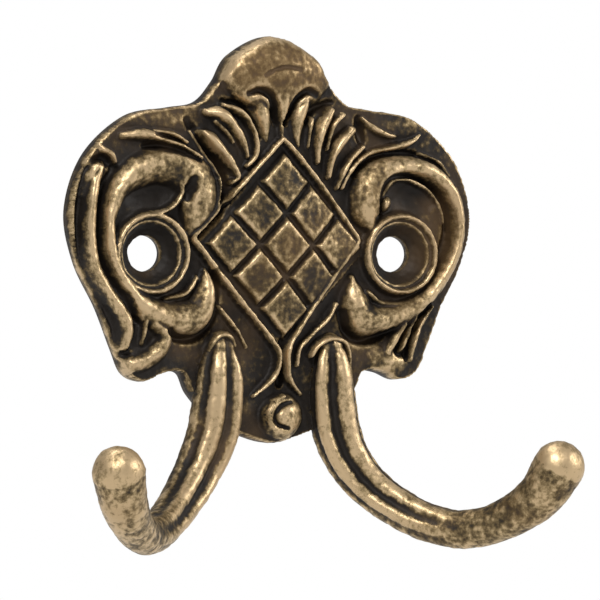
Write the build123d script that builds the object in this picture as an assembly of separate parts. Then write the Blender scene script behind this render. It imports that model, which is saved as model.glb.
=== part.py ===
from build123d import *
import math
import os

# Ornamental double coat hook, one casting. Millimetres, wall plane at Y = 0, front towards -Y, +Z up.
# The origin is midway between the two screw holes, on the back face.

# Back plate
PLATE_THICKNESS = 3.2
PLATE_EDGE_BEVEL = 1.1
CROWN_TOP = 30.4
LOBE_HALF_WIDTH = 30.9
LOBE_TOP = 20.3
LOBE_BOTTOM = -17.7
TAIL_BOTTOM = -26.4

# Screw holes and the funnel round each
SCREW_SPACING = 38.5
SCREW_HOLE_RADIUS = 2.5
SCREW_HOLE_LAND = 1.2
FUNNEL_MOUTH_RADIUS = 4.7
FUNNEL_RIM_RADIUS = 5.4
FUNNEL_RIM_HEIGHT = 1.9

# Lozenge in the middle, with its trellis of raised cells
LOZENGE_CENTRE_Z = 1.1
LOZENGE_HALF_WIDTH = 13.0
LOZENGE_HALF_HEIGHT = 15.0
LOZENGE_RISE = 2.0
LOZENGE_FRAME_WIDTH = 1.0
LOZENGE_CHANNEL_WIDTH = 0.8
LOZENGE_CHANNEL_DEPTH = 0.9
TRELLIS_CELLS = 3
TRELLIS_GROOVE_WIDTH = 1.7
TRELLIS_GROOVE_DEPTH = 0.7

# Crown over the top and bead under the lozenge
CROWN_DOME_Z = 25.2
CROWN_DOME_HALF_WIDTH = 7.6
CROWN_DOME_HALF_HEIGHT = 4.4
CROWN_DOME_RISE = 2.7
BOW_PROFILE = ((-1, 0), (-0.85, 0.33), (-0.6, 0.67), (-0.3, 0.92), (0, 1), (0.3, 0.92), (0.6, 0.67), (0.85, 0.33), (1, 0))
BEAD_Z = -22.8
BEAD_RADIUS = 3.0
BEAD_RISE = 1.9
BEAD_CURL_RADIUS = 1.7
BEAD_CURL_GROOVE = 0.3

# Section of a carved ridge, as shares of its half width and its rise
RIDGE_PROFILE = ((1.0, -0.4), (0.94, 0.35), (0.55, 0.85), (0.0, 1.0), (-0.55, 0.85), (-0.94, 0.35), (-1.0, -0.4))
RIDGE_TIP = 0.1

# Hook arms
ARM_ROOT_X = 8.6
ARM_ROOT_HALF_WIDTH = 3.5
ARM_HALF_DEPTH = 2.7
ARM_BEND_RADIUS = 2.7
ARM_TIP_RADIUS = 3.6
ARM_RIB_LIFT = 0.55
ARM_LOW_Z = -38.5
ARM_TIP_X = 33.5
ARM_TIP_Z = -29.6
ARM_TIP_REACH = 24.3

# Section of an arm: the angle round it from its inner side over its front, and the share of the rib's lift
ARM_PROFILE = (
    (0, 0),
    (24, 0),
    (46, 0.2),
    (64, 1),
    (78, 0.2),
    (91, -0.8),
    (104, 0.2),
    (120, 1),
    (138, 0.2),
    (158, 0),
    (180, 0),
    (207, 0),
    (234, 0),
    (270, 0),
    (306, 0),
    (333, 0),
)

SCREW_X = SCREW_SPACING / 2
HALF_SPACE = 60
FORWARD = Vector(0, -1, 0)


def at(x, z, reach=0.0):
    """A point x to the side, z up the wall and reach out from it."""
    return Vector(x, -reach, z)


def half_outline():
    """The +X half of the plate's edge, from the crown down to the tail."""
    return [
        (0, CROWN_TOP),
        (6.1, 27.7),
        (8.6, 23.9),
        (11.3, 21.1),
        (15.5, LOBE_TOP),
        (22.0, 19.0),
        (28.2, 13.6),
        (LOBE_HALF_WIDTH, 6.0),
        (29.6, -1.2),
        (26.3, -7.6),
        (24.0, -13.2),
        (22.4, -16.6),
        (19.7, LOBE_BOTTOM),
        (16.6, -16.6),
        (14.0, -16.6),
        (12.4, -19.6),
        (8.6, -23.4),
        (4.3, -25.4),
        (0, TAIL_BOTTOM),
    ]


def closed_tangents(points):
    """The way a smooth closed line through the points runs at each of them."""
    found = []
    for n, point in enumerate(points):
        back = point - points[n - 1]
        ahead = points[(n + 1) % len(points)] - point
        found.append((back.normalized() * ahead.length + ahead.normalized() * back.length).normalized())
    return found


def arc_pair(start, start_way, end, end_way):
    """Two arcs that leave start and reach end along the given ways and meet smoothly."""
    chord = end - start
    ways = start_way + end_way
    square = 2 * (1 - start_way.dot(end_way))
    swing = chord.dot(ways)
    if square < 1e-6:
        reach = chord.length / 2
    else:
        reach = (math.sqrt(swing**2 + square * chord.length**2) - swing) / square
    middle = (start + end + (start_way - end_way) * reach) / 2
    first = TangentArc(start, middle, tangent=start_way)
    return [first, TangentArc(middle, end, tangent=first % 1)]


def plate():
    half = half_outline()
    right = [at(x, z) for x, z in half]
    left = [at(-x, z) for x, z in reversed(half[1:-1])]
    points = [*right, *left]
    ways = closed_tangents(points)
    edges = []
    for n in range(len(points)):
        after = (n + 1) % len(points)
        edges += arc_pair(points[n], ways[n], points[after], ways[after])
    body = extrude(make_face(Wire(edges)), PLATE_THICKNESS, dir=FORWARD)
    front = body.faces().sort_by(Axis.Y)[0]
    return chamfer(front.edges(), PLATE_EDGE_BEVEL)


def directions(points):
    """The way the line through the points runs at each of them."""
    ahead = [*points[1:], points[-1]]
    behind = [points[0], *points[:-1]]
    return [(b - a).normalized() for a, b in zip(behind, ahead)]


def smooth(stations, steps):
    """The stations with more put between them along a smooth line."""
    ends = [stations[0], *stations, stations[-1]]
    found = [stations[0]]
    for before, start, end, after in zip(ends, ends[1:], ends[2:], ends[3:]):
        for n in range(1, steps + 1):
            t = n / steps
            shares = (
                (-t + 2 * t**2 - t**3) / 2,
                (2 - 5 * t**2 + 3 * t**3) / 2,
                (t + 4 * t**2 - 3 * t**3) / 2,
                (t**3 - t**2) / 2,
            )
            corners = zip(before, start, end, after)
            found.append(tuple(sum(s * c for s, c in zip(shares, column)) for column in corners))
    return found


def ridge(stations, steps=2):
    """A carved ridge on the plate's face, pointed at both ends.
    Each station is x, z, half the width and the rise above the face."""
    line = smooth(stations, steps)
    points = [at(x, z, PLATE_THICKNESS) for x, z, _, _ in line]
    sections = []
    for point, along, (_, _, half_width, rise) in zip(points, directions(points), line):
        across = along.cross(FORWARD) * max(half_width, RIDGE_TIP)
        lift = FORWARD * max(rise, RIDGE_TIP)
        corners = [point + across * w + lift * h for w, h in RIDGE_PROFILE]
        sections.append(make_face(Polyline(*corners, close=True)))
    return loft(sections, ruled=True)


def scroll_ridges():
    """The C-scroll round each screw hole, its outer band and the curls inside and below it."""
    scroll = ridge(
        [
            (11.6, -2.6, 0, 0),
            (11.9, -6.4, 1.5, 1.6),
            (14.6, -9.2, 1.9, 1.9),
            (19.0, -8.6, 1.6, 1.9),
            (23.4, -5.4, 1.1, 1.7),
            (26.3, -0.6, 0.9, 1.7),
            (27.0, 5.2, 1.0, 1.7),
            (24.9, 10.2, 1.3, 1.8),
            (20.3, 12.9, 1.7, 2.0),
            (15.2, 12.0, 2.2, 2.2),
            (12.4, 8.0, 2.1, 2.1),
            (13.9, 3.9, 0, 0),
        ]
    )
    band = ridge(
        [
            (22.4, 15.2, 0, 0),
            (26.2, 12.6, 0.8, 1.2),
            (28.9, 7.6, 0.9, 1.3),
            (29.0, 2.0, 0.9, 1.3),
            (26.7, -4.2, 0.9, 1.3),
            (23.6, -9.4, 0.9, 1.3),
            (22.3, -13.4, 0, 0),
        ]
    )
    curl = ridge(
        [
            (24.2, 2.6, 0, 0),
            (21.8, 5.4, 0.5, 1.0),
            (17.8, 6.2, 0.5, 1.1),
            (15.9, 8.3, 0.5, 1.1),
            (17.6, 10.3, 0.5, 1.0),
            (20.9, 10.3, 0, 0),
        ]
    )
    crest = ridge(
        [
            (12.2, 13.9, 0, 0),
            (15.6, 15.6, 0.6, 1.2),
            (19.8, 16.2, 0.8, 1.3),
            (24.0, 14.6, 0, 0),
        ]
    )
    leaf = ridge(
        [
            (18.0, -9.4, 0, 0),
            (17.4, -12.0, 1.2, 1.3),
            (19.2, -14.6, 1.4, 1.4),
            (22.6, -14.9, 0, 0),
        ]
    )
    return [scroll, band, curl, crest, leaf]


def fan_ridges():
    """The shell leaves between the crown and the lozenge."""
    outer = ridge([(12.4, 17.2, 0, 0), (9.6, 15.8, 0.9, 1.5), (7.6, 12.6, 0.7, 1.3), (7.0, 9.8, 0, 0)])
    middle = ridge([(10.4, 20.0, 0, 0), (7.7, 18.4, 1.1, 1.9), (5.8, 15.4, 0.8, 1.6), (5.3, 12.0, 0, 0)])
    inner = ridge([(4.0, 21.6, 0, 0), (2.9, 19.0, 0.8, 1.4), (2.5, 16.4, 0.5, 1.2), (2.4, 15.0, 0, 0)])
    return [outer, middle, inner]


def tail_ridges():
    """The ribs that run on down from the lozenge and part above the bead."""
    return [ridge([(1.6, -12.4, 0, 0), (1.1, -15.2, 0.5, 1.4), (1.9, -18.0, 0.5, 1.2), (4.6, -20.6, 0, 0)])]


def lozenge_outline(inset):
    """The lozenge's corners, drawn in by a distance square to its sides."""
    slant = math.hypot(LOZENGE_HALF_WIDTH, LOZENGE_HALF_HEIGHT)
    share = 1 - inset * slant / (LOZENGE_HALF_WIDTH * LOZENGE_HALF_HEIGHT)
    wide, high = LOZENGE_HALF_WIDTH * share, LOZENGE_HALF_HEIGHT * share
    corners = [(wide, 0), (0, high), (-wide, 0), (0, -high)]
    return [(x, z + LOZENGE_CENTRE_Z) for x, z in corners]


def lozenge_slab(inset, low, high):
    corners = [at(x, z, low) for x, z in lozenge_outline(inset)]
    return extrude(make_face(Polyline(*corners, close=True)), high - low, dir=FORWARD)


def lozenge():
    """The framed panel with its sunk channel and the grooves between its cells."""
    top = PLATE_THICKNESS + LOZENGE_RISE
    body = lozenge_slab(0, 0.5 * PLATE_THICKNESS, top)
    channel_out = LOZENGE_FRAME_WIDTH
    channel_in = LOZENGE_FRAME_WIDTH + LOZENGE_CHANNEL_WIDTH
    floor = top - LOZENGE_CHANNEL_DEPTH
    body -= lozenge_slab(channel_out, floor, top + 1) - lozenge_slab(channel_in, floor - 1, top + 2)
    inner = lozenge_outline(channel_in)
    right, upper, left, lower = [at(x, z, top) for x, z in inner]
    for start, side_a, side_b in ((upper, lower, 1), (upper, lower, -1)):
        near, far = (right, left) if side_b == 1 else (left, right)
        for n in range(1, TRELLIS_CELLS):
            share = n / TRELLIS_CELLS
            begin = start + (near - start) * share
            end = far + (side_a - far) * share
            body -= groove(begin, end)
    return body


def groove(begin, end):
    """A V-shaped cut with pointed ends between two points of the panel's top."""
    along = (end - begin).normalized()
    across = along.cross(FORWARD)
    half = TRELLIS_GROOVE_WIDTH / 2
    lift = FORWARD * (TRELLIS_GROOVE_DEPTH * 0.2)
    bottom = begin - FORWARD * TRELLIS_GROOVE_DEPTH
    profile = Polyline(begin + across * half + lift, begin - across * half + lift, bottom, close=True)
    return extrude(make_face(profile), (end - begin).length, dir=along)


def dome_radius(half_width, rise):
    """The radius of the ball whose cap is this wide and this high."""
    return (half_width**2 + rise**2) / (2 * rise)


def crown_dome():
    """A smooth boss, longer than it is high, with pointed ends."""
    across = dome_radius(CROWN_DOME_HALF_HEIGHT, CROWN_DOME_RISE)
    depth = across - CROWN_DOME_RISE
    half = math.sqrt(dome_radius(CROWN_DOME_HALF_WIDTH, CROWN_DOME_RISE) ** 2 - 1)
    bow = [Vector(half * w, -across * h, 0) for w, h in BOW_PROFILE]
    boss = revolve(make_face(Polyline(*bow, close=True)), Axis.X)
    boss -= Pos(0, across - depth + 0.5, 0) * Box(4 * half, 2 * across, 4 * across)
    return Pos(*at(0, CROWN_DOME_Z, PLATE_THICKNESS - depth)) * boss


def bead():
    """The round bead under the lozenge, with a curl cut in it."""
    ball_radius = dome_radius(BEAD_RADIUS, BEAD_RISE)
    centre = PLATE_THICKNESS + BEAD_RISE - ball_radius
    lip = centre + math.sqrt(ball_radius**2 - BEAD_CURL_RADIUS**2)
    cut = Polyline(
        at(BEAD_CURL_RADIUS - BEAD_CURL_GROOVE, 0, lip + 0.3),
        at(BEAD_CURL_RADIUS + BEAD_CURL_GROOVE, 0, lip + 0.1),
        at(BEAD_CURL_RADIUS, 0, lip - BEAD_CURL_GROOVE),
        close=True,
    )
    curl = revolve(make_face(cut), Axis.Y, 280)
    ball = Pos(*at(0, BEAD_Z, centre)) * Sphere(ball_radius)
    ball &= Pos(*at(0, BEAD_Z, centre + ball_radius)) * Box(3 * ball_radius, 2 * ball_radius, 3 * ball_radius)
    return ball - Pos(0, 0, BEAD_Z) * Rot(0, 40, 0) * curl


def arm_stations():
    """The arm from its curled top down the plate, forward round the bend and up to the tip.
    Each station is x, z and reach of the middle, half the width, half the depth and the lift of its ribs."""
    side, wide, deep, bend, rib = ARM_ROOT_X, ARM_ROOT_HALF_WIDTH, ARM_HALF_DEPTH, ARM_BEND_RADIUS, ARM_RIB_LIFT
    return [
        (side, -12.6, deep, 0.62 * wide, 0.62 * wide, 0.2 * rib),
        (side + 0.2, -16.0, deep + 0.1, 0.85 * wide, 0.95 * deep, rib),
        (side + 0.4, -20.5, deep + 0.1, wide, deep, rib),
        (side + 1.3, -25.5, deep + 0.1, wide, deep, rib),
        (side + 3.7, -30.2, deep + 0.5, 0.9 * wide, deep, rib),
        (side + 7.1, -34.2, 5.4, 0.82 * wide, bend, 0.8 * rib),
        (20.2, ARM_LOW_Z + 1.1, 9.4, bend, bend, 0.5 * rib),
        (24.4, ARM_LOW_Z, 13.5, bend, bend, 0.2 * rib),
        (28.4, ARM_LOW_Z + 1.5, 18.0, 1.04 * bend, 1.04 * bend, 0),
        (31.6, -33.8, 21.9, 0.9 * ARM_TIP_RADIUS, 0.9 * ARM_TIP_RADIUS, 0),
        (ARM_TIP_X, ARM_TIP_Z, ARM_TIP_REACH, ARM_TIP_RADIUS, ARM_TIP_RADIUS, 0),
    ]


def arm_frames(points):
    """At each point of the arm, the way it runs and the way its carved face looks, carried along without twist."""
    frames = []
    face = FORWARD
    for along in directions(points):
        face = (face - along * face.dot(along)).normalized()
        frames.append((along, face))
    return frames


def arm_section(point, frame, wide, deep, rib):
    """One cut through the arm, with two ribs and a groove between them on its carved face."""
    along, face = frame
    across = along.cross(face)
    corners = []
    for degrees, lift in ARM_PROFILE:
        angle = math.radians(degrees)
        sideways = (wide + rib * lift) * math.cos(angle)
        outward = (deep + rib * lift) * math.sin(angle)
        corners.append(point + across * sideways + face * outward)
    return make_face(Polyline(*corners, close=True))


def arm():
    """The whole arm in one piece, closed by a rounded end at its top and at its tip."""
    rows = smooth(arm_stations(), 2)
    points = [at(x, z, reach) for x, z, reach, _, _, _ in rows]
    frames = arm_frames(points)
    sections = []
    for point, frame, (_, _, _, wide, deep, rib) in zip(points, frames, rows):
        sections.append(arm_section(point, frame, wide, deep, rib))
    for end, way, place in ((0, -1, 0), (-1, 1, len(rows))):
        point, frame, (_, _, _, wide, deep, _) = points[end], frames[end], rows[end]
        caps = []
        for share, size in ((0.99, 0.14), (0.87, 0.49), (0.5, 0.87)):
            caps.append(arm_section(point + frame[0] * way * deep * share, frame, wide * size, deep * size, 0))
        sections = [*caps, *sections] if end == 0 else [*sections, *reversed(caps)]
    return [loft(sections, ruled=True)]


def funnel_rim():
    """The raised lip round a screw hole."""
    return Pos(*at(SCREW_X, 0, PLATE_THICKNESS)) * Rot(90, 0, 0) * Cylinder(
        FUNNEL_RIM_RADIUS, FUNNEL_RIM_HEIGHT, align=(Align.CENTER, Align.CENTER, Align.MIN)
    )


def screw_cut():
    """The hole and the funnel in front of it, turned about the screw's axis."""
    mouth = PLATE_THICKNESS + FUNNEL_RIM_HEIGHT
    profile = Polyline(
        at(0, 0, -1),
        at(SCREW_HOLE_RADIUS, 0, -1),
        at(SCREW_HOLE_RADIUS, 0, SCREW_HOLE_LAND),
        at(FUNNEL_MOUTH_RADIUS - 0.6, 0, SCREW_HOLE_LAND + 1.6),
        at(FUNNEL_MOUTH_RADIUS, 0, mouth),
        at(FUNNEL_MOUTH_RADIUS, 0, mouth + 2),
        at(0, 0, mouth + 2),
        close=True,
    )
    return Pos(SCREW_X, 0, 0) * revolve(make_face(profile), Axis.Y)


def coat_hook():
    parts = [crown_dome(), lozenge(), bead()]
    parts += [*scroll_ridges(), *fan_ridges(), *tail_ridges(), funnel_rim(), *arm()]
    body = plate().fuse(*[s for part in parts for s in part.solids()])
    body -= screw_cut()
    half = body & Pos(HALF_SPACE, 0, 0) * Box(2 * HALF_SPACE, 2 * HALF_SPACE, 4 * HALF_SPACE)
    return half.fuse(half.mirror(Plane.YZ))


if __name__ == "__main__":
    os.makedirs("parts", exist_ok=True)
    export_step(coat_hook(), "parts/coat_hook.step")
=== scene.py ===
import math

import bpy
import bmesh
import numpy as np
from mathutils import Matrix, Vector, noise
from mathutils.geometry import delaunay_2d_cdt


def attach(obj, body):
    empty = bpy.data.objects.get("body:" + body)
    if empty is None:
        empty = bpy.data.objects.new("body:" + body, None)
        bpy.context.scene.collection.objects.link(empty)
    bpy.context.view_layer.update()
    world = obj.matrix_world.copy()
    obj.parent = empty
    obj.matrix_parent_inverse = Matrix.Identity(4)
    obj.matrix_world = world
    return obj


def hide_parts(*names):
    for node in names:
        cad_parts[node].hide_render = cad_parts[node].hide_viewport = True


# The carved casting is one mesh that stands for the CAD node. Lengths here are millimetres until MM scales them.
# x is to the right, z is up the wall, and reach is how far a point stands out from the wall.
MM = 0.001
NODE = "coat_hook"
SLOT = "antique_brass"

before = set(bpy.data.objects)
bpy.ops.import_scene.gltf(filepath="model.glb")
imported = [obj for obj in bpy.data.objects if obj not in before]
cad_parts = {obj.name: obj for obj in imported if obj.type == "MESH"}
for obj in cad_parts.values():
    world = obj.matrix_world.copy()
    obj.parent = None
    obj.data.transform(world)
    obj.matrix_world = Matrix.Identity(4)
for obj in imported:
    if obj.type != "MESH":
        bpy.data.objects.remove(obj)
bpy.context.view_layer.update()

# Plate
FLOOR = 2.9
WALL_TOP = 1.2
EDGE_WIDTH = 3.0
EDGE_HEIGHT = 4.9
GRID = 0.23
HOLE_X = 19.25
HOLE_RADIUS = 2.5

HALF_OUTLINE = [
    (0, 30.4), (6.1, 27.7), (8.6, 23.9), (11.3, 21.1), (15.5, 20.3), (22.0, 19.0), (28.2, 13.6), (30.9, 6.0),
    (29.6, -1.2), (26.3, -7.6), (24.0, -13.2), (22.4, -16.6), (19.7, -17.7), (16.6, -16.6), (14.0, -16.6),
    (12.4, -19.6), (8.6, -23.4), (4.3, -25.4), (0, -26.4),
]

# Screw funnel: distance from the screw's axis and the reach there
FUNNEL = [
    (2.5, 1.2), (3.3, 1.75), (4.0, 2.7), (4.35, 3.65), (4.55, 3.75), (4.75, 3.5), (5.0, 4.5), (5.3, 4.85),
    (5.6, 4.6), (5.9, 3.6), (6.3, 2.5),
]

# Carved ridges: x, z, half width and reach of the crest at each point of the line
RIDGES = {
    "left scroll": [
        (-11.0, -2.3, 0.4, 3.7), (-10.7, -5.0, 1.6, 4.9), (-11.8, -8.2, 2.3, 5.3), (-14.5, -9.1, 2.3, 5.4),
        (-18.0, -8.6, 2.0, 5.3), (-21.0, -6.9, 1.7, 5.2), (-23.5, -4.0, 1.35, 5.1), (-25.2, -0.5, 1.15, 5.0),
        (-25.8, 3.0, 1.1, 5.0), (-25.4, 6.0, 1.2, 5.0), (-24.0, 9.0, 1.5, 5.0), (-21.5, 11.2, 2.0, 5.1),
        (-18.0, 12.3, 2.3, 5.3), (-14.5, 11.9, 2.7, 5.5), (-12.2, 9.6, 2.7, 5.6), (-12.0, 6.8, 2.6, 5.5),
        (-12.7, 4.6, 2.0, 5.1), (-13.5, 2.8, 0.8, 4.1),
    ],
    "left outer band": [
        (-26.3, 12.4, 0.5, 3.6), (-27.8, 9.5, 1.0, 4.3), (-28.4, 6.0, 1.1, 4.5), (-28.5, 3.0, 1.1, 4.5),
        (-28.2, 0.0, 1.1, 4.5), (-27.5, -2.5, 1.1, 4.4), (-26.2, -4.6, 1.1, 4.4), (-24.7, -6.6, 1.0, 4.4),
        (-23.2, -8.6, 1.0, 4.4), (-22.6, -10.5, 0.9, 4.3), (-23.0, -13.0, 0.5, 3.9),
    ],
    "left curl": [
        (-24.2, 1.5, 0.4, 4.0), (-23.8, 2.8, 0.45, 4.3), (-22.0, 4.5, 0.45, 4.4), (-20.0, 5.3, 0.45, 4.5),
        (-17.5, 5.8, 0.45, 4.6), (-16.0, 6.6, 0.45, 4.6), (-15.0, 7.8, 0.45, 4.6), (-14.7, 9.0, 0.45, 4.7),
        (-15.3, 10.2, 0.45, 4.7), (-17.0, 10.8, 0.45, 4.6), (-20.0, 10.3, 0.35, 4.2),
    ],
    "left crest": [
        (-23.5, 16.2, 0.5, 4.0), (-21.0, 16.5, 0.9, 4.5), (-18.0, 16.1, 0.6, 4.4), (-15.0, 15.0, 0.5, 4.5),
        (-11.8, 13.3, 0.4, 4.7),
    ],
    "left crest upper": [(-18.8, 17.0, 0.3, 3.9), (-16.0, 16.6, 0.4, 4.1), (-13.8, 15.4, 0.3, 4.2)],
    "left leaf lip": [
        (-18.8, -9.7, 0.9, 4.9), (-17.3, -11.0, 1.1, 4.8), (-17.4, -12.5, 1.2, 4.7), (-18.8, -14.0, 1.3, 4.6),
        (-21.0, -15.1, 1.3, 4.5), (-23.5, -15.5, 1.0, 4.1),
    ],
    "left leaf vein": [(-20.1, -9.0, 0.4, 4.5), (-20.3, -11.0, 0.4, 4.2), (-20.6, -12.5, 0.3, 3.5)],
    "left under funnel": [(-12.3, -3.4, 0.4, 4.0), (-14.0, -5.5, 0.45, 4.2), (-17.0, -6.3, 0.4, 4.0)],
    "left side line": [
        (-13.0, 17.0, 0.35, 4.0), (-11.0, 14.0, 0.4, 4.4), (-9.4, 11.5, 0.4, 4.5), (-8.9, 9.0, 0.4, 4.5),
        (-9.4, 6.5, 0.4, 4.4), (-10.8, 4.3, 0.35, 4.1),
    ],
    "left brow": [(-29.2, 8.0, 0.5, 3.8), (-28.2, 10.8, 0.7, 4.0), (-26.9, 12.2, 0.5, 3.9)],
    "left pocket lip": [(-26.5, 14.4, 0.5, 3.9), (-25.2, 13.6, 0.55, 4.2), (-24.6, 12.6, 0.4, 3.9)],
    "right scroll": [
        (11.8, -3.3, 0.5, 3.9), (12.1, -6.2, 1.9, 5.1), (13.1, -8.8, 2.3, 5.4), (15.5, -9.2, 2.0, 5.4),
        (18.5, -8.7, 1.7, 5.3), (21.5, -7.5, 1.5, 5.2), (24.0, -5.5, 1.2, 5.1), (26.4, -2.5, 1.1, 5.0),
        (27.9, 0.5, 1.05, 5.0), (28.5, 3.5, 1.05, 5.0), (28.2, 6.5, 1.1, 5.0), (27.2, 9.0, 1.25, 5.0),
        (25.3, 10.9, 1.4, 5.1), (22.8, 12.0, 1.5, 5.2), (20.0, 12.3, 1.6, 5.3), (17.0, 11.6, 2.1, 5.5),
        (14.9, 9.9, 2.4, 5.6), (14.0, 7.6, 2.3, 5.6), (14.0, 5.4, 2.0, 5.3), (14.6, 3.6, 0.8, 4.3),
    ],
    "right outer line": [(22.5, 14.1, 0.35, 4.0), (25.3, 13.0, 0.4, 4.2), (27.2, 11.0, 0.35, 4.0)],
    "right crest": [
        (10.2, 9.3, 0.35, 4.2), (11.0, 11.2, 0.45, 4.5), (12.8, 13.2, 0.45, 4.6), (15.0, 14.4, 0.45, 4.5),
        (18.0, 15.0, 0.55, 4.4), (21.0, 15.8, 0.5, 4.1), (22.5, 16.8, 0.3, 3.7),
    ],
    "right crest inner": [
        (9.4, 9.3, 0.35, 4.2), (10.2, 11.2, 0.4, 4.5), (11.4, 13.2, 0.45, 4.6), (13.6, 15.2, 0.35, 4.3),
    ],
    "right brow": [(13.5, 19.0, 0.4, 3.9), (15.0, 17.8, 0.55, 4.3), (17.0, 16.9, 0.5, 4.2), (18.6, 16.6, 0.3, 3.8)],
    "right ball": [(16.9, 6.9, 0.9, 4.3), (17.1, 7.3, 0.9, 4.3)],
    "right curl": [
        (16.7, 9.0, 0.35, 4.3), (17.6, 10.2, 0.4, 4.5), (19.5, 10.6, 0.4, 4.5), (21.5, 10.2, 0.35, 4.3),
        (24.0, 9.0, 0.35, 4.1), (26.0, 6.5, 0.35, 4.0), (26.5, 4.5, 0.3, 3.8),
    ],
    "right under funnel": [(14.4, -5.4, 0.4, 4.0), (16.0, -6.7, 0.45, 4.2), (18.0, -7.1, 0.45, 4.2), (20.0, -6.9, 0.4, 4.1)],
    "right leaf one": [(21.5, -9.0, 0.45, 4.7), (20.2, -11.5, 0.5, 4.4), (19.4, -13.8, 0.4, 3.9)],
    "right leaf two": [(19.7, -9.8, 0.6, 4.8), (18.4, -12.0, 0.7, 4.4), (17.4, -13.8, 0.7, 4.1)],
    "right edge line": [(24.3, -7.4, 0.45, 4.1), (22.6, -9.8, 0.5, 4.1), (21.6, -12.5, 0.5, 4.0), (21.1, -14.8, 0.4, 3.7)],
    "fan left one": [
        (-10.8, 19.6, 0.6, 4.6), (-8.8, 19.3, 1.1, 5.4), (-6.8, 17.6, 0.85, 5.2), (-5.4, 15.5, 0.65, 5.0),
        (-4.7, 13.6, 0.4, 4.6),
    ],
    "fan left vein": [(-9.6, 18.4, 0.3, 4.4), (-8.1, 17.1, 0.35, 4.5), (-6.8, 15.5, 0.3, 4.3)],
    "fan left two": [
        (-8.3, 20.6, 0.5, 4.8), (-5.6, 19.6, 0.65, 5.1), (-4.1, 17.6, 0.6, 5.1), (-3.4, 15.6, 0.6, 5.0),
        (-3.6, 13.6, 0.5, 4.9), (-4.8, 12.2, 0.35, 4.6),
    ],
    "fan left three": [
        (-12.0, 16.8, 0.5, 4.3), (-10.2, 15.9, 0.95, 5.1), (-8.2, 13.8, 0.8, 5.1), (-6.8, 11.9, 0.65, 5.0),
        (-6.2, 10.7, 0.5, 4.8), (-7.0, 9.9, 0.35, 4.5),
    ],
    "fan right one": [(8.3, 20.1, 0.6, 4.8), (6.8, 17.9, 0.95, 5.4), (6.1, 15.3, 0.75, 5.2), (6.1, 12.9, 0.4, 4.7)],
    "fan right vein": [(10.2, 19.5, 0.45, 4.7), (8.7, 18.2, 0.45, 4.9), (8.1, 16.6, 0.35, 4.6), (7.7, 14.6, 0.3, 4.4)],
    "fan right two": [(11.6, 17.4, 0.6, 4.8), (9.7, 15.6, 0.85, 5.1), (8.4, 13.4, 0.65, 5.0), (7.9, 10.8, 0.4, 4.6)],
    "fan right inner": [(5.3, 19.0, 0.45, 4.5), (5.0, 17.0, 0.4, 4.4), (4.8, 15.0, 0.35, 4.2)],
    "leaf left": [(-3.1, 21.3, 0.8, 4.6), (-2.3, 19.6, 1.3, 4.8), (-1.8, 17.4, 0.9, 4.3), (-1.7, 15.8, 0.5, 3.9)],
    "leaf right": [(4.4, 21.4, 0.8, 4.6), (3.6, 19.4, 1.3, 4.7), (3.1, 17.2, 0.9, 4.3), (3.3, 15.2, 0.5, 4.0)],
    "spear": [(0.7, 23.6, 2.6, 5.4), (0.7, 21.6, 1.7, 5.3), (0.6, 19.8, 1.1, 5.0), (0.6, 18.0, 0.6, 4.5), (0.6, 16.4, 0.5, 4.3)],
    "frame": [
        (0.6, 16.0, 0.5, 5.0), (-1.2, 14.2, 0.5, 5.0), (-6.4, 8.9, 0.5, 5.0), (-11.6, 3.8, 0.5, 4.9), (-13.0, 2.2, 0.5, 4.9),
        (-11.8, 0.6, 0.5, 4.9), (-6.3, -6.0, 0.5, 5.0), (-1.4, -11.6, 0.5, 5.0), (0.0, -13.6, 0.5, 5.0),
        (0.1, -15.2, 0.5, 4.9), (-0.7, -17.3, 0.5, 4.7), (-3.5, -19.8, 0.3, 4.0),
    ],
    "frame right": [
        (0.6, 16.0, 0.5, 5.0), (2.2, 14.6, 0.5, 5.0), (6.6, 9.6, 0.5, 5.0), (11.2, 3.6, 0.5, 4.9), (12.3, 1.9, 0.5, 4.9),
        (11.3, 0.4, 0.5, 4.9), (6.8, -5.4, 0.5, 5.0), (2.8, -11.0, 0.5, 5.0), (1.6, -13.2, 0.5, 5.0),
        (1.4, -15.4, 0.5, 4.9), (1.9, -17.6, 0.45, 4.7), (3.7, -19.6, 0.3, 4.0),
    ],
    "side line left": [(-9.1, -7.1, 0.35, 4.0), (-7.5, -9.1, 0.4, 4.3), (-5.9, -10.9, 0.3, 4.0), (-4.6, -13.0, 0.25, 3.7)],
    "side line right": [(9.3, -7.0, 0.35, 4.0), (7.8, -9.2, 0.4, 4.3), (5.6, -11.2, 0.3, 4.2), (3.6, -13.2, 0.35, 4.3), (3.2, -15.6, 0.3, 4.0)],
    "left arm cap": [(-10.5, -13.4, 0.45, 4.2), (-9.2, -11.5, 0.7, 4.8), (-7.6, -11.5, 0.6, 4.8), (-6.6, -12.8, 0.4, 4.3)],
    "right arm cap": [
        (5.3, -14.2, 0.45, 4.5), (6.1, -12.9, 0.5, 4.8), (8.0, -11.9, 0.55, 5.1), (10.0, -12.3, 0.55, 5.1),
        (10.9, -14.0, 0.5, 5.0), (10.9, -16.5, 0.4, 4.8),
    ],
    "nub": [(0.2, -20.3, 0.45, 4.6), (0.9, -19.9, 0.45, 4.6)],
    "bead lip": [
        (-0.9, -20.9, 0.4, 4.7), (-1.6, -22.2, 0.4, 4.9), (-1.3, -23.7, 0.45, 4.9), (0.0, -24.8, 0.45, 4.8),
        (1.6, -24.9, 0.4, 4.6),
    ],
}

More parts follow.
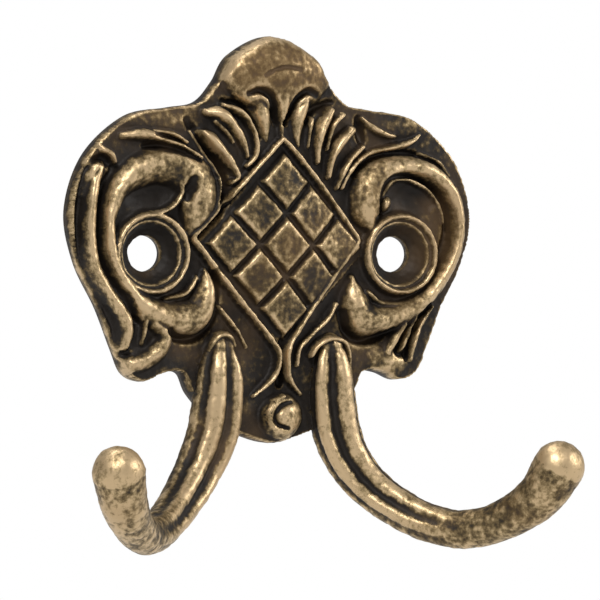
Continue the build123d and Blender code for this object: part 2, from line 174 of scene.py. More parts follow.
# Carved grooves: x, z, half width and depth
GROOVES = [
    [(-13.5, 18.5, 0.5, 0.6), (-12.2, 16.5, 0.6, 1.3), (-10.7, 14.3, 0.6, 1.6), (-8.9, 12.0, 0.6, 1.6),
     (-8.0, 10.0, 0.6, 1.5), (-8.2, 7.5, 0.6, 1.4), (-9.1, 5.2, 0.5, 1.2), (-12.0, 2.4, 0.4, 0.9)],
    [(-20.0, 14.8, 0.45, 0.6), (-17.0, 14.5, 0.5, 1.2), (-14.5, 14.0, 0.5, 1.2), (-12.0, 12.9, 0.3, 0.8)],
    [(-18.6, 16.4, 0.3, 0.4), (-16.5, 16.0, 0.3, 0.8), (-14.6, 15.5, 0.3, 0.4)],
    [(-28.6, 11.5, 0.5, 0.5), (-29.3, 8.0, 0.6, 1.0), (-29.6, 4.0, 0.6, 1.2), (-29.3, 0.0, 0.6, 1.2),
     (-28.2, -3.4, 0.6, 1.2), (-26.2, -6.8, 0.6, 1.2), (-24.6, -10.0, 0.6, 1.2), (-24.2, -13.0, 0.5, 1.1)],
    [(-24.5, 11.8, 0.4, 0.6), (-26.1, 9.3, 0.5, 1.0), (-26.9, 6.0, 0.5, 1.1), (-26.9, 2.0, 0.5, 1.1),
     (-26.4, -1.0, 0.5, 1.1), (-24.8, -4.0, 0.5, 1.1), (-22.5, -7.0, 0.5, 1.0), (-21.2, -9.5, 0.4, 0.8)],
    [(-25.2, -14.8, 0.5, 0.6), (-24.0, -14.4, 0.7, 1.4), (-22.7, -13.8, 0.5, 0.9)],
    [(-27.5, 12.8, 0.5, 0.5), (-26.2, 12.9, 0.7, 1.1), (-25.0, 12.0, 0.5, 0.6)],
    [(-16.6, -10.8, 0.45, 0.8), (-14.5, -11.8, 0.55, 1.3), (-11.8, -11.4, 0.55, 1.3), (-9.8, -9.0, 0.55, 1.3),
     (-9.2, -5.5, 0.55, 1.3), (-9.6, -2.6, 0.5, 1.0)],
    [(-13.4, 10.2, 0.6, 1.0), (-13.7, 8.9, 0.7, 1.4), (-13.9, 7.6, 0.4, 0.7)],
    [(23.8, -7.2, 0.4, 0.9), (22.2, -9.3, 0.5, 1.5), (21.1, -12.0, 0.5, 1.5), (20.5, -14.6, 0.4, 1.0)],
    [(20.7, -10.2, 0.3, 0.6), (19.5, -12.0, 0.4, 1.0), (19.0, -13.6, 0.5, 1.3), (19.9, -14.1, 0.4, 0.8)],
    [(10.3, -8.3, 0.5, 1.0), (11.3, -11.0, 0.6, 1.4), (13.5, -12.2, 0.6, 1.6), (16.0, -11.6, 0.6, 1.5), (18.0, -10.5, 0.3, 0.8)],
    [(13.1, 18.9, 0.5, 1.0), (13.2, 17.5, 0.6, 1.5), (13.6, 15.9, 0.5, 1.0)],
    [(12.3, 11.2, 0.4, 0.9), (14.0, 13.0, 0.4, 0.9), (17.0, 14.0, 0.4, 0.9), (20.5, 14.3, 0.4, 0.8),
     (23.5, 13.5, 0.35, 0.9), (26.2, 11.9, 0.35, 0.9), (27.8, 9.9, 0.3, 0.7)],
    [(16.3, 6.0, 0.4, 0.8), (16.0, 8.4, 0.45, 1.2), (17.3, 10.6, 0.4, 1.1), (20.2, 11.1, 0.4, 1.1),
     (23.0, 10.3, 0.5, 1.2), (25.4, 8.5, 0.6, 1.2), (26.9, 5.5, 0.6, 1.2), (26.9, 2.5, 0.5, 1.1), (25.9, -0.5, 0.5, 1.0)],
    [(-8.0, 21.2, 0.4, 0.7), (-6.0, 20.9, 0.45, 1.1), (-4.7, 19.9, 0.45, 1.2), (-3.6, 18.2, 0.45, 1.2), (-2.8, 16.2, 0.4, 1.0)],
    [(-4.6, 22.3, 0.4, 0.6), (-3.0, 22.7, 0.5, 1.2), (-1.4, 21.9, 0.5, 1.5), (-0.6, 20.2, 0.5, 1.6), (0.0, 18.2, 0.4, 1.2)],
    [(1.1, 18.2, 0.4, 1.2), (2.0, 20.2, 0.5, 1.6), (3.0, 21.8, 0.5, 1.6), (4.4, 22.7, 0.5, 1.2), (6.0, 22.2, 0.4, 0.6)],
    [(4.4, 18.4, 0.4, 1.0), (5.5, 19.9, 0.5, 1.3), (7.2, 20.8, 0.5, 1.1), (8.9, 21.3, 0.3, 0.6)],
    [(-2.6, 24.8, 0.3, 0.2), (-1.0, 25.6, 0.3, 0.4), (0.8, 26.0, 0.3, 0.4), (3.0, 25.7, 0.3, 0.25)],
    [(0.8, -12.2, 0.35, 0.7), (0.8, -15.0, 0.4, 1.2), (0.75, -18.2, 0.4, 1.0)],
    [(1.9, -20.7, 0.25, 0.5), (0.3, -21.2, 0.3, 0.8), (-0.7, -22.5, 0.3, 0.9), (-0.3, -23.7, 0.3, 0.9), (1.3, -24.3, 0.25, 0.5)],
]

# Soft swells: x, z, half width, half height and rise
SWELLS = [
    (0.2, 24.9, 8.4, 5.2, 2.9),
    (17.5, -15.0, 3.6, 2.6, 1.0),
    (-21.5, -15.0, 3.0, 2.0, 0.6),
    (-19.2, 8.0, 4.2, 2.8, -0.9),
    (21.5, 7.6, 4.2, 2.6, -0.9),
    (0.0, 14.5, 11.0, 8.0, 0.7),
    (-18.0, 18.2, 6.0, 1.8, 0.5),
    (19.0, 17.8, 6.0, 1.6, 0.5),
]
BEAD = (0.8, -22.7, 3.4, 5.3)

# Trellis: middle of the panel, the step to the next cell each way, half a cell and the panel's reach
PANEL_MIDDLE = (1.0, 1.2)
CELL_STEPS = ((4.15, 4.35), (4.1, -4.5))
CELL_HALF = 0.375
PANEL_REACH = 4.5
PANEL_BOW = 1.1
CELL_BEVEL = 0.7
GROOVE_DEPTH = 1.1

# Arms: x, z, reach, half width, half depth and rib lift along the right arm
ARM_LINE = [
    (8.6, -13.2, 2.7, 2.1, 2.2, 0.3), (8.8, -16.0, 2.8, 2.95, 2.6, 1.0), (9.0, -20.5, 2.8, 3.5, 2.7, 1.0),
    (9.9, -25.5, 2.8, 3.5, 2.7, 1.0), (12.3, -30.2, 3.2, 3.15, 2.7, 0.95), (15.7, -34.2, 5.4, 2.87, 2.7, 0.75),
    (20.2, -37.4, 9.4, 2.7, 2.7, 0.4), (24.4, -38.5, 13.5, 2.7, 2.7, 0.1), (28.4, -37.0, 18.0, 2.8, 2.8, 0.0),
    (31.6, -33.8, 21.9, 3.24, 3.24, 0.0), (33.5, -29.6, 24.3, 3.6, 3.6, 0.0),
]
ARM_STEPS = 18
ARM_SIDES = 72
CAP_STEPS = 7
SWELL_HEIGHT = 0.10
DENT_HEIGHT = 0.075
RIB_LIFT = 0.75
# How far the arm's face rises or sinks round it, from its back through its outer side, face and inner side
RIB_CURVE = [
    (0.0, 0.5), (0.33, 0.5), (0.40, 0.5), (0.50, 0.5), (0.545, 0.42), (0.58, 0.72), (0.615, 0.88), (0.65, 0.72),
    (0.685, 0.20), (0.70, 0.12), (0.72, 0.25), (0.76, 0.8), (0.80, 0.95), (0.84, 0.8), (0.87, 0.42), (0.90, 0.32),
    (0.94, 0.52), (1.0, 0.5),
]


def smooth_line(points, steps):
    """A smooth line through the points, with this many spans between each two."""
    rows = np.array([points[0], *points, points[-1]], float)
    t = np.arange(steps)[:, None] / steps
    spans = []
    for a, b, c, d in zip(rows, rows[1:], rows[2:], rows[3:]):
        spans.append(
            0.5 * (2 * b + (c - a) * t + (2 * a - 5 * b + 4 * c - d) * t**2 + (3 * b - a - 3 * c + d) * t**3)
        )
    return np.vstack([*spans, rows[-1:]])


def closed_line(points, gap):
    """A smooth closed line through the points, evenly spaced."""
    rows = np.array([points[-1], *points, points[0], points[1]], float)
    line = smooth_line(rows, 24)[24:-24]
    lengths = np.r_[0, np.cumsum(np.linalg.norm(np.diff(line, axis=0), axis=1))]
    at = np.linspace(0, lengths[-1], int(lengths[-1] / gap) + 1)[:-1]
    return np.column_stack([np.interp(at, lengths, line[:, k]) for k in (0, 1)])


def nearest(points, line):
    """For each point, how far the nearest part of the line is, and the line's own values there."""
    spans = line[1:, :2] - line[:-1, :2]
    squares = np.maximum((spans**2).sum(1), 1e-9)
    away = points[:, None, :] - line[None, :-1, :2]
    t = np.clip((away * spans).sum(2) / squares, 0, 1)
    gaps = np.linalg.norm(away - t[..., None] * spans, axis=2)
    best = gaps.argmin(1)
    rows = np.arange(len(points))
    share = t[rows, best][:, None]
    return gaps[rows, best], line[best, 2:] * (1 - share) + line[best + 1, 2:] * share


def edge_distance(points, loop):
    """How far each point is inside the closed loop. It is negative outside."""
    closed = np.vstack([loop, loop[:1]])
    found = np.empty(len(points))
    inside = np.zeros(len(points), bool)
    for start in range(0, len(points), 4000):
        part = points[start:start + 4000]
        found[start:start + 4000] = nearest(part, closed)[0]
    for (ax, az), (bx, bz) in zip(closed, closed[1:]):
        if az != bz:
            crosses = (points[:, 1] > min(az, bz)) & (points[:, 1] <= max(az, bz))
            inside ^= crosses & (points[:, 0] < ax + (points[:, 1] - az) * (bx - ax) / (bz - az))
    return np.where(inside, found, -found)


def soft_max(a, b, blend):
    mix = np.clip(0.5 + (a - b) / (2 * blend), 0, 1)
    return b + (a - b) * mix + blend * mix * (1 - mix)


def soft_min(a, b, blend):
    return -soft_max(-a, -b, blend)


def smooth_step(low, high, value):
    t = np.clip((value - low) / (high - low), 0, 1)
    return t * t * (3 - 2 * t)


def panel_reach(x, z):
    """The trellis panel's reach, and how far a point is inside the panel."""
    (ax, az), (bx, bz) = CELL_STEPS
    scale = ax * bz - bx * az
    dx, dz = x - PANEL_MIDDLE[0], z - PANEL_MIDDLE[1]
    p = (dx * bz - bx * dz) / scale
    q = (ax * dz - dx * az) / scale
    cell = math.hypot(ax, az)
    near_p = np.abs(p - np.clip(np.round(p), -1, 1))
    near_q = np.abs(q - np.clip(np.round(q), -1, 1))
    inside = (CELL_HALF - np.maximum(near_p, near_q)) * cell
    away = np.maximum(np.abs(p), np.abs(q))
    top = PANEL_REACH + PANEL_BOW * (1 - np.clip(away / 1.5, 0, 1) ** 2)
    bevel = np.clip(inside / CELL_BEVEL + 1.0, 0, 1)
    return top - GROOVE_DEPTH * (1 - smooth_step(0.1, 1.0, bevel)), away


def relief(points, edge):
    """The reach of the plate's carved front at each point."""
    x, z = points[:, 0], points[:, 1]
    reach = np.full(len(points), FLOOR)
    for cx, cz, wide, high, rise in SWELLS:
        away = ((x - cx) / wide) ** 2 + ((z - cz) / high) ** 2
        reach += rise * np.clip(1 - away, 0, 1) ** (0.6 if rise > 2 else 1.2)
    panel, away = panel_reach(x, z)
    reach = np.where(away < 1.62, panel, reach)
    for line in RIDGES.values():
        dense = smooth_line(line, 8)
        low, high = dense[:, :2].min(0) - 3, dense[:, :2].max(0) + 3
        near = np.flatnonzero(((points > low) & (points < high)).all(1))
        gap, values = nearest(points[near], dense)
        wide, crest = values[:, 0] * 1.25, values[:, 1]
        base = np.minimum(FLOOR - 0.6, crest)
        shape = np.clip(1 - (gap / wide) ** 2, 0, 1) ** 0.8
        ridge = base + (crest - base) * shape
        reach[near] = np.where(gap < wide * 1.4, soft_max(reach[near], ridge, 0.22), reach[near])
    bead_x, bead_z, bead_radius, bead_reach = BEAD
    away = np.hypot(x - bead_x, z - bead_z) / bead_radius
    ball = 2.2 + (bead_reach - 2.2) * np.sqrt(np.clip(1 - away**2, 0, 1))
    reach = soft_max(reach, ball, 0.1)
    for line in GROOVES:
        dense = smooth_line(line, 8)
        low, high = dense[:, :2].min(0) - 3, dense[:, :2].max(0) + 3
        near = np.flatnonzero(((points > low) & (points < high)).all(1))
        gap, values = nearest(points[near], dense)
        wide, depth = values[:, 0] * 1.5, values[:, 1]
        reach[near] -= depth * np.clip(1 - (gap / wide) ** 2, 0, 1) ** 1.3
    for side in (-1, 1):
        away = np.hypot(x - side * HOLE_X, z)
        funnel = np.interp(away, *zip(*FUNNEL))
        cover = smooth_step(6.4, 5.4, away) if False else 1 - smooth_step(5.4, 6.4, away)
        lip = soft_max(reach, funnel, 0.2)
        reach = np.where(away < 5.3, funnel, reach * (1 - cover) + lip * cover)
    rounded = WALL_TOP + EDGE_HEIGHT * np.sqrt(np.clip(1 - (1 - np.clip(edge / EDGE_WIDTH, 0, 1)) ** 2, 0, 1))
    reach = soft_min(reach, rounded, 0.35)
    return np.maximum(reach, 1.0)


def plate_mesh():
    """The plate as a closed mesh: carved front, side wall, screw holes and flat back."""
    right = HALF_OUTLINE
    left = [(-x, z) for x, z in reversed(right[1:-1])]
    outline = closed_line([*right, *left], GRID)
    turns = np.linspace(0, 2 * math.pi, 73)[:-1]
    holes = [
        np.column_stack([side * HOLE_X + HOLE_RADIUS * np.cos(turns), HOLE_RADIUS * np.sin(turns)]) for side in (-1, 1)
    ]
    low, high = outline.min(0), outline.max(0)
    xs = np.arange(low[0], high[0], GRID)
    zs = np.arange(low[1], high[1], GRID * 0.866)
    gx, gz = np.meshgrid(xs, zs)
    gx[1::2] += GRID / 2
    grid = np.column_stack([gx.ravel(), gz.ravel()])
    edge = edge_distance(grid, outline)
    for side in (-1, 1):
        edge = np.minimum(edge, np.hypot(grid[:, 0] - side * HOLE_X, grid[:, 1]) - HOLE_RADIUS)
    grid = grid[edge > 0.55 * GRID]
    loops = [outline, *holes]
    points = np.vstack([*loops, grid])
    spans, first = [], 0
    for loop in loops:
        count = len(loop)
        spans += [(first + n, first + (n + 1) % count) for n in range(count)]
        first += count
    coords, _, faces, _, _, _ = delaunay_2d_cdt([Vector(p) for p in points], spans, [], 1, 1e-7)
    flat = np.array([tuple(c) for c in coords])
    tris = np.array(faces)
    middles = flat[tris].mean(1)
    keep = edge_distance(middles, outline) > 0
    for side in (-1, 1):
        keep &= np.hypot(middles[:, 0] - side * HOLE_X, middles[:, 1]) > HOLE_RADIUS * 0.999
    tris = tris[keep]
    reach = relief(flat, edge_distance(flat, outline))
    front = np.column_stack([flat[:, 0], -reach, flat[:, 1]])

    rim = np.vstack(loops)
    back = np.column_stack([rim[:, 0], np.zeros(len(rim)), rim[:, 1]])
    _, _, back_faces, _, _, _ = delaunay_2d_cdt([Vector(p) for p in rim], spans, [], 1, 1e-7)
    back_tris = np.array(back_faces)
    middles = rim[back_tris].mean(1)
    keep = edge_distance(middles, outline) > 0
    for side in (-1, 1):
        keep &= np.hypot(middles[:, 0] - side * HOLE_X, middles[:, 1]) > HOLE_RADIUS * 0.999
    back_tris = back_tris[keep] + len(front)
    walls = [(a, b, b + len(front), a + len(front)) for a, b in spans]
    mesh = bpy.data.meshes.new("plate")
    mesh.from_pydata(
        (np.vstack([front, back]) * MM).tolist(), [], [*tris.tolist(), *back_tris.tolist(), *walls]
    )
    return solid_object("plate", mesh)


def solid_object(name, mesh):
    """An object of a closed mesh with its faces turned outward."""
    work = bmesh.new()
    work.from_mesh(mesh)
    bmesh.ops.recalc_face_normals(work, faces=work.faces)
    if work.calc_volume(signed=True) < 0:
        bmesh.ops.reverse_faces(work, faces=work.faces)
    work.to_mesh(mesh)
    work.free()
    obj = bpy.data.objects.new(name, mesh)
    bpy.context.scene.collection.objects.link(obj)
    return obj


def arm_tree():
    """Sweeps a section along the arm's line. The section is widened and ribbed by values that the line carries."""
    tree = bpy.data.node_groups.new("swept arm", "GeometryNodeTree")
    sockets = {}
    tree.interface.new_socket("Geometry", in_out="OUTPUT", socket_type="NodeSocketGeometry")
    for name, kind in (("Line", "Geometry"), ("Sides", "Int"), ("Rib lift", "Float"), ("Finish", "Material")):
        made = tree.interface.new_socket(name, in_out="INPUT", socket_type="NodeSocket" + kind)
        sockets[name] = made.identifier
    nodes, links = tree.nodes, tree.links

    def add(kind, *inputs, **settings):
        made = nodes.new(kind)
        for key, value in settings.items():
            setattr(made, key, value)
        for n, value in enumerate(inputs):
            if value is None:
                continue
            if isinstance(value, (int, float)):
                made.inputs[n].default_value = value
            else:
                links.new(value, made.inputs[n])
        return made

    def carried(name, kind):
        made = add("GeometryNodeInputNamedAttribute", data_type=kind)
        made.inputs[0].default_value = name
        return made.outputs[0]

    def maths(operation, *inputs):
        return add("ShaderNodeMath", *inputs, operation=operation).outputs[0]

    def vectors(operation, *inputs):
        made = add("ShaderNodeVectorMath", *inputs, operation=operation)
        return made.outputs["Value" if operation == "DOT_PRODUCT" else "Vector"]

    def scaled(vector, factor):
        made = add("ShaderNodeVectorMath", vector, operation="SCALE")
        links.new(factor, made.inputs["Scale"])
        return made.outputs[0]

    given = add("NodeGroupInput").outputs
    line = add("GeometryNodeMeshToCurve", given["Line"]).outputs[0]
    circle = add("GeometryNodeCurvePrimitiveCircle", given["Sides"])
    circle.inputs["Radius"].default_value = MM
    swept = add("GeometryNodeCurveToMesh", line, circle.outputs[0]).outputs[0]
    centre, face, across = (carried(name, "FLOAT_VECTOR") for name in ("centre", "face", "across"))
    wide, deep, rib = (carried(name, "FLOAT") for name in ("wide", "deep", "rib"))
    spoke = vectors("SUBTRACT", add("GeometryNodeInputPosition").outputs[0], centre)
    angle = maths("ARCTAN2", vectors("DOT_PRODUCT", spoke, face), vectors("DOT_PRODUCT", spoke, across))
    turn = maths("ADD", maths("DIVIDE", angle, 2 * math.pi), 0.5)
    curve = nodes.new("ShaderNodeFloatCurve")
    links.new(turn, curve.inputs["Value"])
    stops = curve.mapping.curves[0].points
    stops[0].location, stops[1].location = RIB_CURVE[0], RIB_CURVE[-1]
    for stop in RIB_CURVE[1:-1]:
        stops.new(*stop)
    curve.mapping.update()
    lift = maths("MULTIPLY", maths("MULTIPLY", maths("SUBTRACT", curve.outputs[0], 0.5), 2.0), given["Rib lift"])
    lift = maths("MULTIPLY", lift, rib)
    sideways = maths("MULTIPLY", maths("ADD", wide, lift), maths("COSINE", angle))
    outward = maths("MULTIPLY", maths("ADD", deep, lift), maths("SINE", angle))
    place = vectors("ADD", centre, vectors("ADD", scaled(across, sideways), scaled(face, outward)))
    moved = add("GeometryNodeSetPosition", swept)
    links.new(place, moved.inputs["Position"])
    joined = add("GeometryNodeMergeByDistance", moved.outputs[0])
    joined.inputs["Distance"].default_value = 2e-6
    real = add("GeometryNodeRealizeInstances", joined.outputs[0])
    dressed = add("GeometryNodeSetMaterial", real.outputs[0])
    links.new(given["Finish"], dressed.inputs["Material"])
    links.new(dressed.outputs[0], add("NodeGroupOutput").inputs[0])
    return tree, sockets


def arm_object(name, side, tree, sockets, finish):
    """One arm, swept along its line with a rounded end at its top and at its tip."""
    line = smooth_line([(side * x, -reach, z, wide, deep, rib) for x, z, reach, wide, deep, rib in ARM_LINE], ARM_STEPS)
    along = np.gradient(line[:, :3], axis=0)
    along /= np.linalg.norm(along, axis=1)[:, None]
    face = np.array((0.0, -1.0, 0.0))
    rows = []
    for n, (row, way) in enumerate(zip(line, along)):
        face = face - way * face.dot(way)
        face /= np.linalg.norm(face)
        rows.append((row[:3], way, face.copy(), row[3], row[4], row[5]))
    shares = [math.sin(math.pi / 2 * n / CAP_STEPS) for n in range(1, CAP_STEPS + 1)]
    first, last = rows[0], rows[-1]
    for share in shares:
        size = math.sqrt(max(1 - share**2, 0)) + 1e-4
        for end, way in ((first, -1), (last, 1)):
            middle = end[0] + end[1] * way * end[4] * share
            row = (middle, end[1], end[2], end[3] * size, end[4] * size, end[5] * size)
            if way < 0:
                rows.insert(0, row)
            else:
                rows.append(row)
    mesh = bpy.data.meshes.new(name)
    centres = np.array([row[0] for row in rows]) * MM
    faces = np.array([row[2] for row in rows])
    acrosses = np.array([np.cross(row[1], row[2]) * side for row in rows])
    mesh.from_pydata(centres.tolist(), [(n, n + 1) for n in range(len(rows) - 1)], [])
    for key, values in (("centre", centres), ("face", faces), ("across", acrosses)):
        mesh.attributes.new(key, "FLOAT_VECTOR", "POINT").data.foreach_set("vector", values.astype(np.float32).ravel())
    sizes = {"wide": 3, "deep": 4, "rib": 5}
    for key, column in sizes.items():
        values = np.array([row[column] for row in rows]) * (1 if key == "rib" else MM)
        mesh.attributes.new(key, "FLOAT", "POINT").data.foreach_set("value", values.astype(np.float32))
    obj = bpy.data.objects.new(name, mesh)
    bpy.context.scene.collection.objects.link(obj)
    modifier = obj.modifiers.new("sweep", "NODES")
    modifier.node_group = tree
    modifier[sockets["Sides"]] = ARM_SIDES
    modifier[sockets["Rib lift"]] = RIB_LIFT * MM
    modifier[sockets["Finish"]] = finish
    made = plain_mesh(obj)
    bpy.data.objects.remove(obj)
    return solid_object(name, made)


def plain_mesh(obj):
    bpy.context.view_layer.update()
    return bpy.data.meshes.new_from_object(obj.evaluated_get(bpy.context.evaluated_depsgraph_get()))


def union(base, others):
    """The closed meshes joined into one."""
    for other in others:
        modifier = base.modifiers.new("join", "BOOLEAN")
        modifier.operation = "UNION"
        modifier.solver = "MANIFOLD"
        modifier.object = other
    mesh = plain_mesh(base)
    for obj in (base, *others):
        bpy.data.objects.remove(obj)
    return mesh


def roughen(mesh):
    """Small swells and dents of a casting finished by hand."""
    spots = np.array([v.co for v in mesh.vertices])
    normals = np.array([v.normal for v in mesh.vertices])
    swells = np.zeros(len(spots))
    for n, spot in enumerate(spots / MM):
        if spot[1] < -0.9:
            place = Vector(spot)
            swells[n] = noise.noise(place * 0.55) * SWELL_HEIGHT + noise.noise(place * 1.5) * DENT_HEIGHT
    spots += normals * swells[:, None] * MM
    mesh.vertices.foreach_set("co", spots.ravel())
    mesh.update()


def add_wear_and_shade(mesh):
    """Stores how far each point stands proud of the surface round it, for the patina and wear; the broad measure also
    paints shade into the wide hollows.
    """
    count = len(mesh.vertices)
    start = np.empty(count * 3)
    mesh.vertices.foreach_get("co", start)
    start = start.reshape(-1, 3) / MM
    normals = np.array([v.normal for v in mesh.vertices])
    pairs = np.empty(len(mesh.edges) * 2, int)
    mesh.edges.foreach_get("vertices", pairs)
    a, b = pairs.reshape(-1, 2).T
    weights = np.exp(-((np.linalg.norm(start[a] - start[b], axis=1) / 0.5) ** 2))
    total = np.bincount(a, weights, count) + np.bincount(b, weights, count) + 1e-6
    moved = start.copy()
    for n in range(1, 151):
        sums = [
            np.bincount(a, weights * moved[b, k], count) + np.bincount(b, weights * moved[a, k], count)
            for k in range(3)
        ]
        moved = 0.5 * moved + 0.5 * (np.column_stack(sums) + 1e-6 * moved) / total[:, None]
        # The broad measure darkens wide hollows as painted shade as well as patina.
        if n in (10, 150):
            proud = ((start - moved) * normals).sum(1)
            name = "fine" if n == 10 else "broad_wear_and_shade"
            mesh.attributes.new(name, "FLOAT", "POINT").data.foreach_set("value", proud.astype(np.float32))
    mesh.attributes.new("reach", "FLOAT", "POINT").data.foreach_set("value", (-start[:, 1]).astype(np.float32))


def brass():
    """Antique brass: dark patina in the hollows with painted shade added in the wide hollows, brown on the flats and
    rubbed bright on the crests.
    """
    material = bpy.data.materials.new(SLOT)
    material.use_nodes = True
    nodes, links = material.node_tree.nodes, material.node_tree.links
    shader = nodes["Principled BSDF"]

    def put(socket, value):
        if isinstance(value, (int, float, tuple)):
            socket.default_value = value
        else:
            links.new(value, socket)

    def maths(operation, a, b=0.0, clamp=False):
        made = nodes.new("ShaderNodeMath")
        made.operation, made.use_clamp = operation, clamp
        put(made.inputs[0], a)
        put(made.inputs[1], b)
        return made.outputs[0]

    def spread(value, low, high, new_low=0.0, new_high=1.0):
        made = nodes.new("ShaderNodeMapRange")
        for socket, given in zip(made.inputs, (value, low, high, new_low, new_high)):
            put(socket, given)
        return made.outputs[0]

    def stored(name):
        made = nodes.new("ShaderNodeAttribute")
        made.attribute_name = name
        return made.outputs["Fac"]

    def cloud(scale, detail, stretch=(1, 1, 1), roughness=0.6):
        mapping = nodes.new("ShaderNodeMapping")
        mapping.inputs["Scale"].default_value = stretch
        links.new(place, mapping.inputs["Vector"])
        made = nodes.new("ShaderNodeTexNoise")
        made.inputs["Scale"].default_value = scale
        made.inputs["Detail"].default_value = detail
        made.inputs["Roughness"].default_value = roughness
        links.new(mapping.outputs[0], made.inputs["Vector"])
        return made.outputs["Fac"]

    def blend(share, a, b):
        made = nodes.new("ShaderNodeMix")
        made.data_type = "RGBA"
        put(made.inputs["Factor"], share)
        put(made.inputs[6], a)
        put(made.inputs[7], b)
        return made.outputs[2]

    place = nodes.new("ShaderNodeTexCoord").outputs["Object"]
    clouds = cloud(160, 4)
    speckle = cloud(1500, 3, roughness=0.7)
    grain = cloud(700, 5, (1, 1, 0.45))
    patches = cloud(60, 3)

    # Fine crests are rubbed wear; the broad hollows are darkened as painted shade on top of the patina.
    worn_and_shaded = maths("ADD", spread(stored("fine"), -0.07, 0.07, -0.38, 0.38), spread(stored("broad_wear_and_shade"), -0.5, 0.7, -0.62, 0.24))
    # Darker where the front lies nearer the wall.
    low = spread(stored("reach"), 1.2, 4.2, -0.2, 0.0)
    wear_and_shade = maths("ADD", worn_and_shaded, maths("MULTIPLY", maths("SUBTRACT", clouds, 0.5), 0.9))
    wear_and_shade = maths("ADD", wear_and_shade, maths("MULTIPLY", maths("SUBTRACT", speckle, 0.5), 1.3))
    wear_and_shade = maths("ADD", wear_and_shade, maths("MULTIPLY", maths("SUBTRACT", grain, 0.5), 1.3))
    wear_and_shade = maths("ADD", wear_and_shade, low)
    wear_and_shade = maths("ADD", wear_and_shade, 0.43, clamp=True)

    ramp = nodes.new("ShaderNodeValToRGB")
    links.new(wear_and_shade, ramp.inputs[0])
    stops = ramp.color_ramp.elements
    stops[0].position, stops[0].color = 0.0, (0.010, 0.006, 0.003, 1)
    stops[1].position, stops[1].color = 1.0, (0.56, 0.41, 0.235, 1)
    for position, color in (
        (0.22, (0.036, 0.024, 0.010, 1)), (0.42, (0.095, 0.064, 0.027, 1)), (0.62, (0.20, 0.142, 0.068, 1)),
        (0.8, (0.36, 0.265, 0.14, 1)),
    ):
        stops.new(position).color = color
    height = nodes.new("ShaderNodeSeparateXYZ")
    links.new(place, height.inputs[0])
    crown = maths("MULTIPLY", spread(height.outputs["Z"], 0.020, 0.024), spread(height.outputs["Y"], -0.0036, -0.0046))
    share = maths("ADD", maths("MULTIPLY", spread(patches, 0.5, 0.7), 0.3), maths("MULTIPLY", crown, 0.35))
    warm = blend(share, ramp.outputs[0], (0.21, 0.115, 0.04, 1))
    links.new(warm, shader.inputs["Base Color"])
    links.new(spread(wear_and_shade, 0.0, 0.8, 0.4, 0.85), shader.inputs["Metallic"])
    links.new(spread(wear_and_shade, 0.0, 1.0, 0.62, 0.44), shader.inputs["Roughness"])
    bump = nodes.new("ShaderNodeBump")
    bump.inputs["Strength"].default_value = 0.5
    bump.inputs["Distance"].default_value = 0.0002
    links.new(maths("ADD", maths("MULTIPLY", grain, 0.8), maths("MULTIPLY", speckle, 0.45)), bump.inputs["Height"])
    links.new(bump.outputs[0], shader.inputs["Normal"])
    return material


# The casting
finish = brass()
tree, sockets = arm_tree()
arms = [arm_object(f"arm_{name}", side, tree, sockets, finish) for name, side in (("left", -1), ("right", 1))]
mesh = union(plate_mesh(), arms)
mesh.materials.clear()
mesh.materials.append(finish)
mesh.shade_smooth()
roughen(mesh)
add_wear_and_shade(mesh)
casting = bpy.data.objects.new("casting", mesh)
bpy.context.scene.collection.objects.link(casting)
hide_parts(NODE)
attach(casting, "root")


def camera_lit(name, color, strength):
    """A pale material that the camera and mirror-like surfaces see as plain white."""
    material = bpy.data.materials.new(name)
    material.use_nodes = True
    nodes, links = material.node_tree.nodes, material.node_tree.links
    shader = nodes["Principled BSDF"]
    shader.inputs["Base Color"].default_value = color
    shader.inputs["Roughness"].default_value = 0.9
    glow = nodes.new("ShaderNodeEmission")
    glow.inputs["Strength"].default_value = strength
    mix = nodes.new("ShaderNodeMixShader")
    path = nodes.new("ShaderNodeLightPath")
    either = nodes.new("ShaderNodeMath")
    either.operation = "MAXIMUM"
    links.new(path.outputs["Is Camera Ray"], either.inputs[0])
    links.new(path.outputs["Is Glossy Ray"], either.inputs[1])
    links.new(either.outputs[0], mix.inputs[0])
    links.new(shader.outputs[0], mix.inputs[1])
    links.new(glow.outputs[0], mix.inputs[2])
    links.new(mix.outputs[0], nodes["Material Output"].inputs["Surface"])
    return material


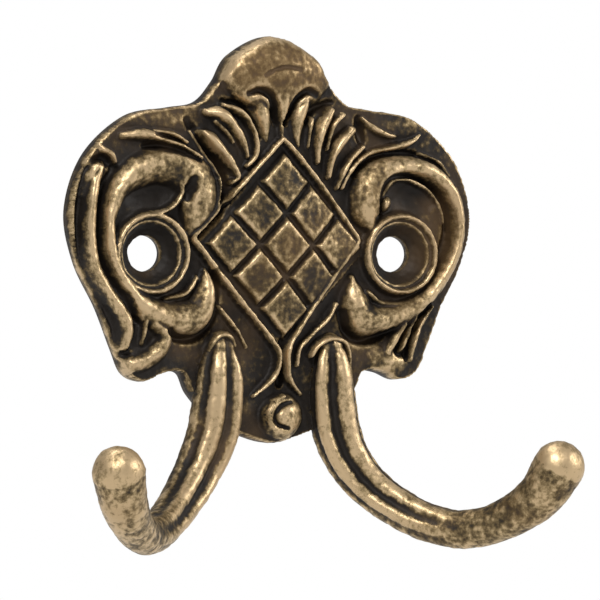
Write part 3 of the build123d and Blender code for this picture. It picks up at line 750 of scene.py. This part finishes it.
# Floor and backdrop
FLOOR_Z = -0.09
FLOOR_HALF = 1.5
floor_mesh = bpy.data.meshes.new("floor")
floor_mesh.from_pydata(
    [(-FLOOR_HALF, -FLOOR_HALF, FLOOR_Z), (FLOOR_HALF, -FLOOR_HALF, FLOOR_Z), (FLOOR_HALF, FLOOR_HALF, FLOOR_Z), (-FLOOR_HALF, FLOOR_HALF, FLOOR_Z)],
    [], [(0, 1, 2, 3)],
)
floor_mesh.materials.append(camera_lit("floor_white", (0.85, 0.85, 0.85, 1), 1.0))
floor = bpy.data.objects.new("floor", floor_mesh)
bpy.context.scene.collection.objects.link(floor)

world = bpy.data.worlds.new("studio")
world.use_nodes = True
bpy.context.scene.world = world
sky = world.node_tree.nodes["Background"]
links = world.node_tree.links
path = world.node_tree.nodes.new("ShaderNodeLightPath")
level = world.node_tree.nodes.new("ShaderNodeMapRange")
links.new(path.outputs["Is Camera Ray"], level.inputs[0])
level.inputs[3].default_value = 0.42
level.inputs[4].default_value = 1.0
sky.inputs["Color"].default_value = (1, 1, 1, 1)
links.new(level.outputs[0], sky.inputs["Strength"])


def area_light(name, place, target, size, power):
    data = bpy.data.lights.new(name, "AREA")
    data.shape, data.size, data.energy = "DISK", size, power
    lamp = bpy.data.objects.new(name, data)
    lamp.location = place
    lamp.rotation_euler = (Vector(target) - Vector(place)).to_track_quat("-Z", "Y").to_euler()
    bpy.context.scene.collection.objects.link(lamp)


area_light("key", (-0.35, -0.45, 0.5), (0, 0, 0), 0.2, 4.0)
area_light("side", (0.6, -0.35, 0.25), (0, 0, 0), 0.3, 2.5)
area_light("rim", (-0.1, 0.1, 0.6), (0, 0, 0), 0.2, 1.2)

# Camera: it looks from this azimuth, level, and the picture is this wide at the middle of the plate
AZIMUTH = math.radians(-26)
DISTANCE = 0.85
PICTURE = 0.084
AIM_RIGHT, AIM_UP = 0.00483, -0.00644
right = Vector((math.cos(AZIMUTH), math.sin(AZIMUTH), 0))
toward = Vector((math.sin(AZIMUTH), -math.cos(AZIMUTH), 0))
aim = right * AIM_RIGHT + Vector((0, 0, AIM_UP))
lens = bpy.data.cameras.new("camera")
lens.sensor_fit = "HORIZONTAL"
lens.angle = 2 * math.atan(PICTURE / 2 / DISTANCE)
camera = bpy.data.objects.new("camera", lens)
camera.location = aim + toward * DISTANCE
camera.rotation_euler = (-toward).to_track_quat("-Z", "Y").to_euler()
bpy.context.scene.collection.objects.link(camera)
bpy.context.scene.camera = camera
bpy.context.scene.view_settings.view_transform = "Standard"
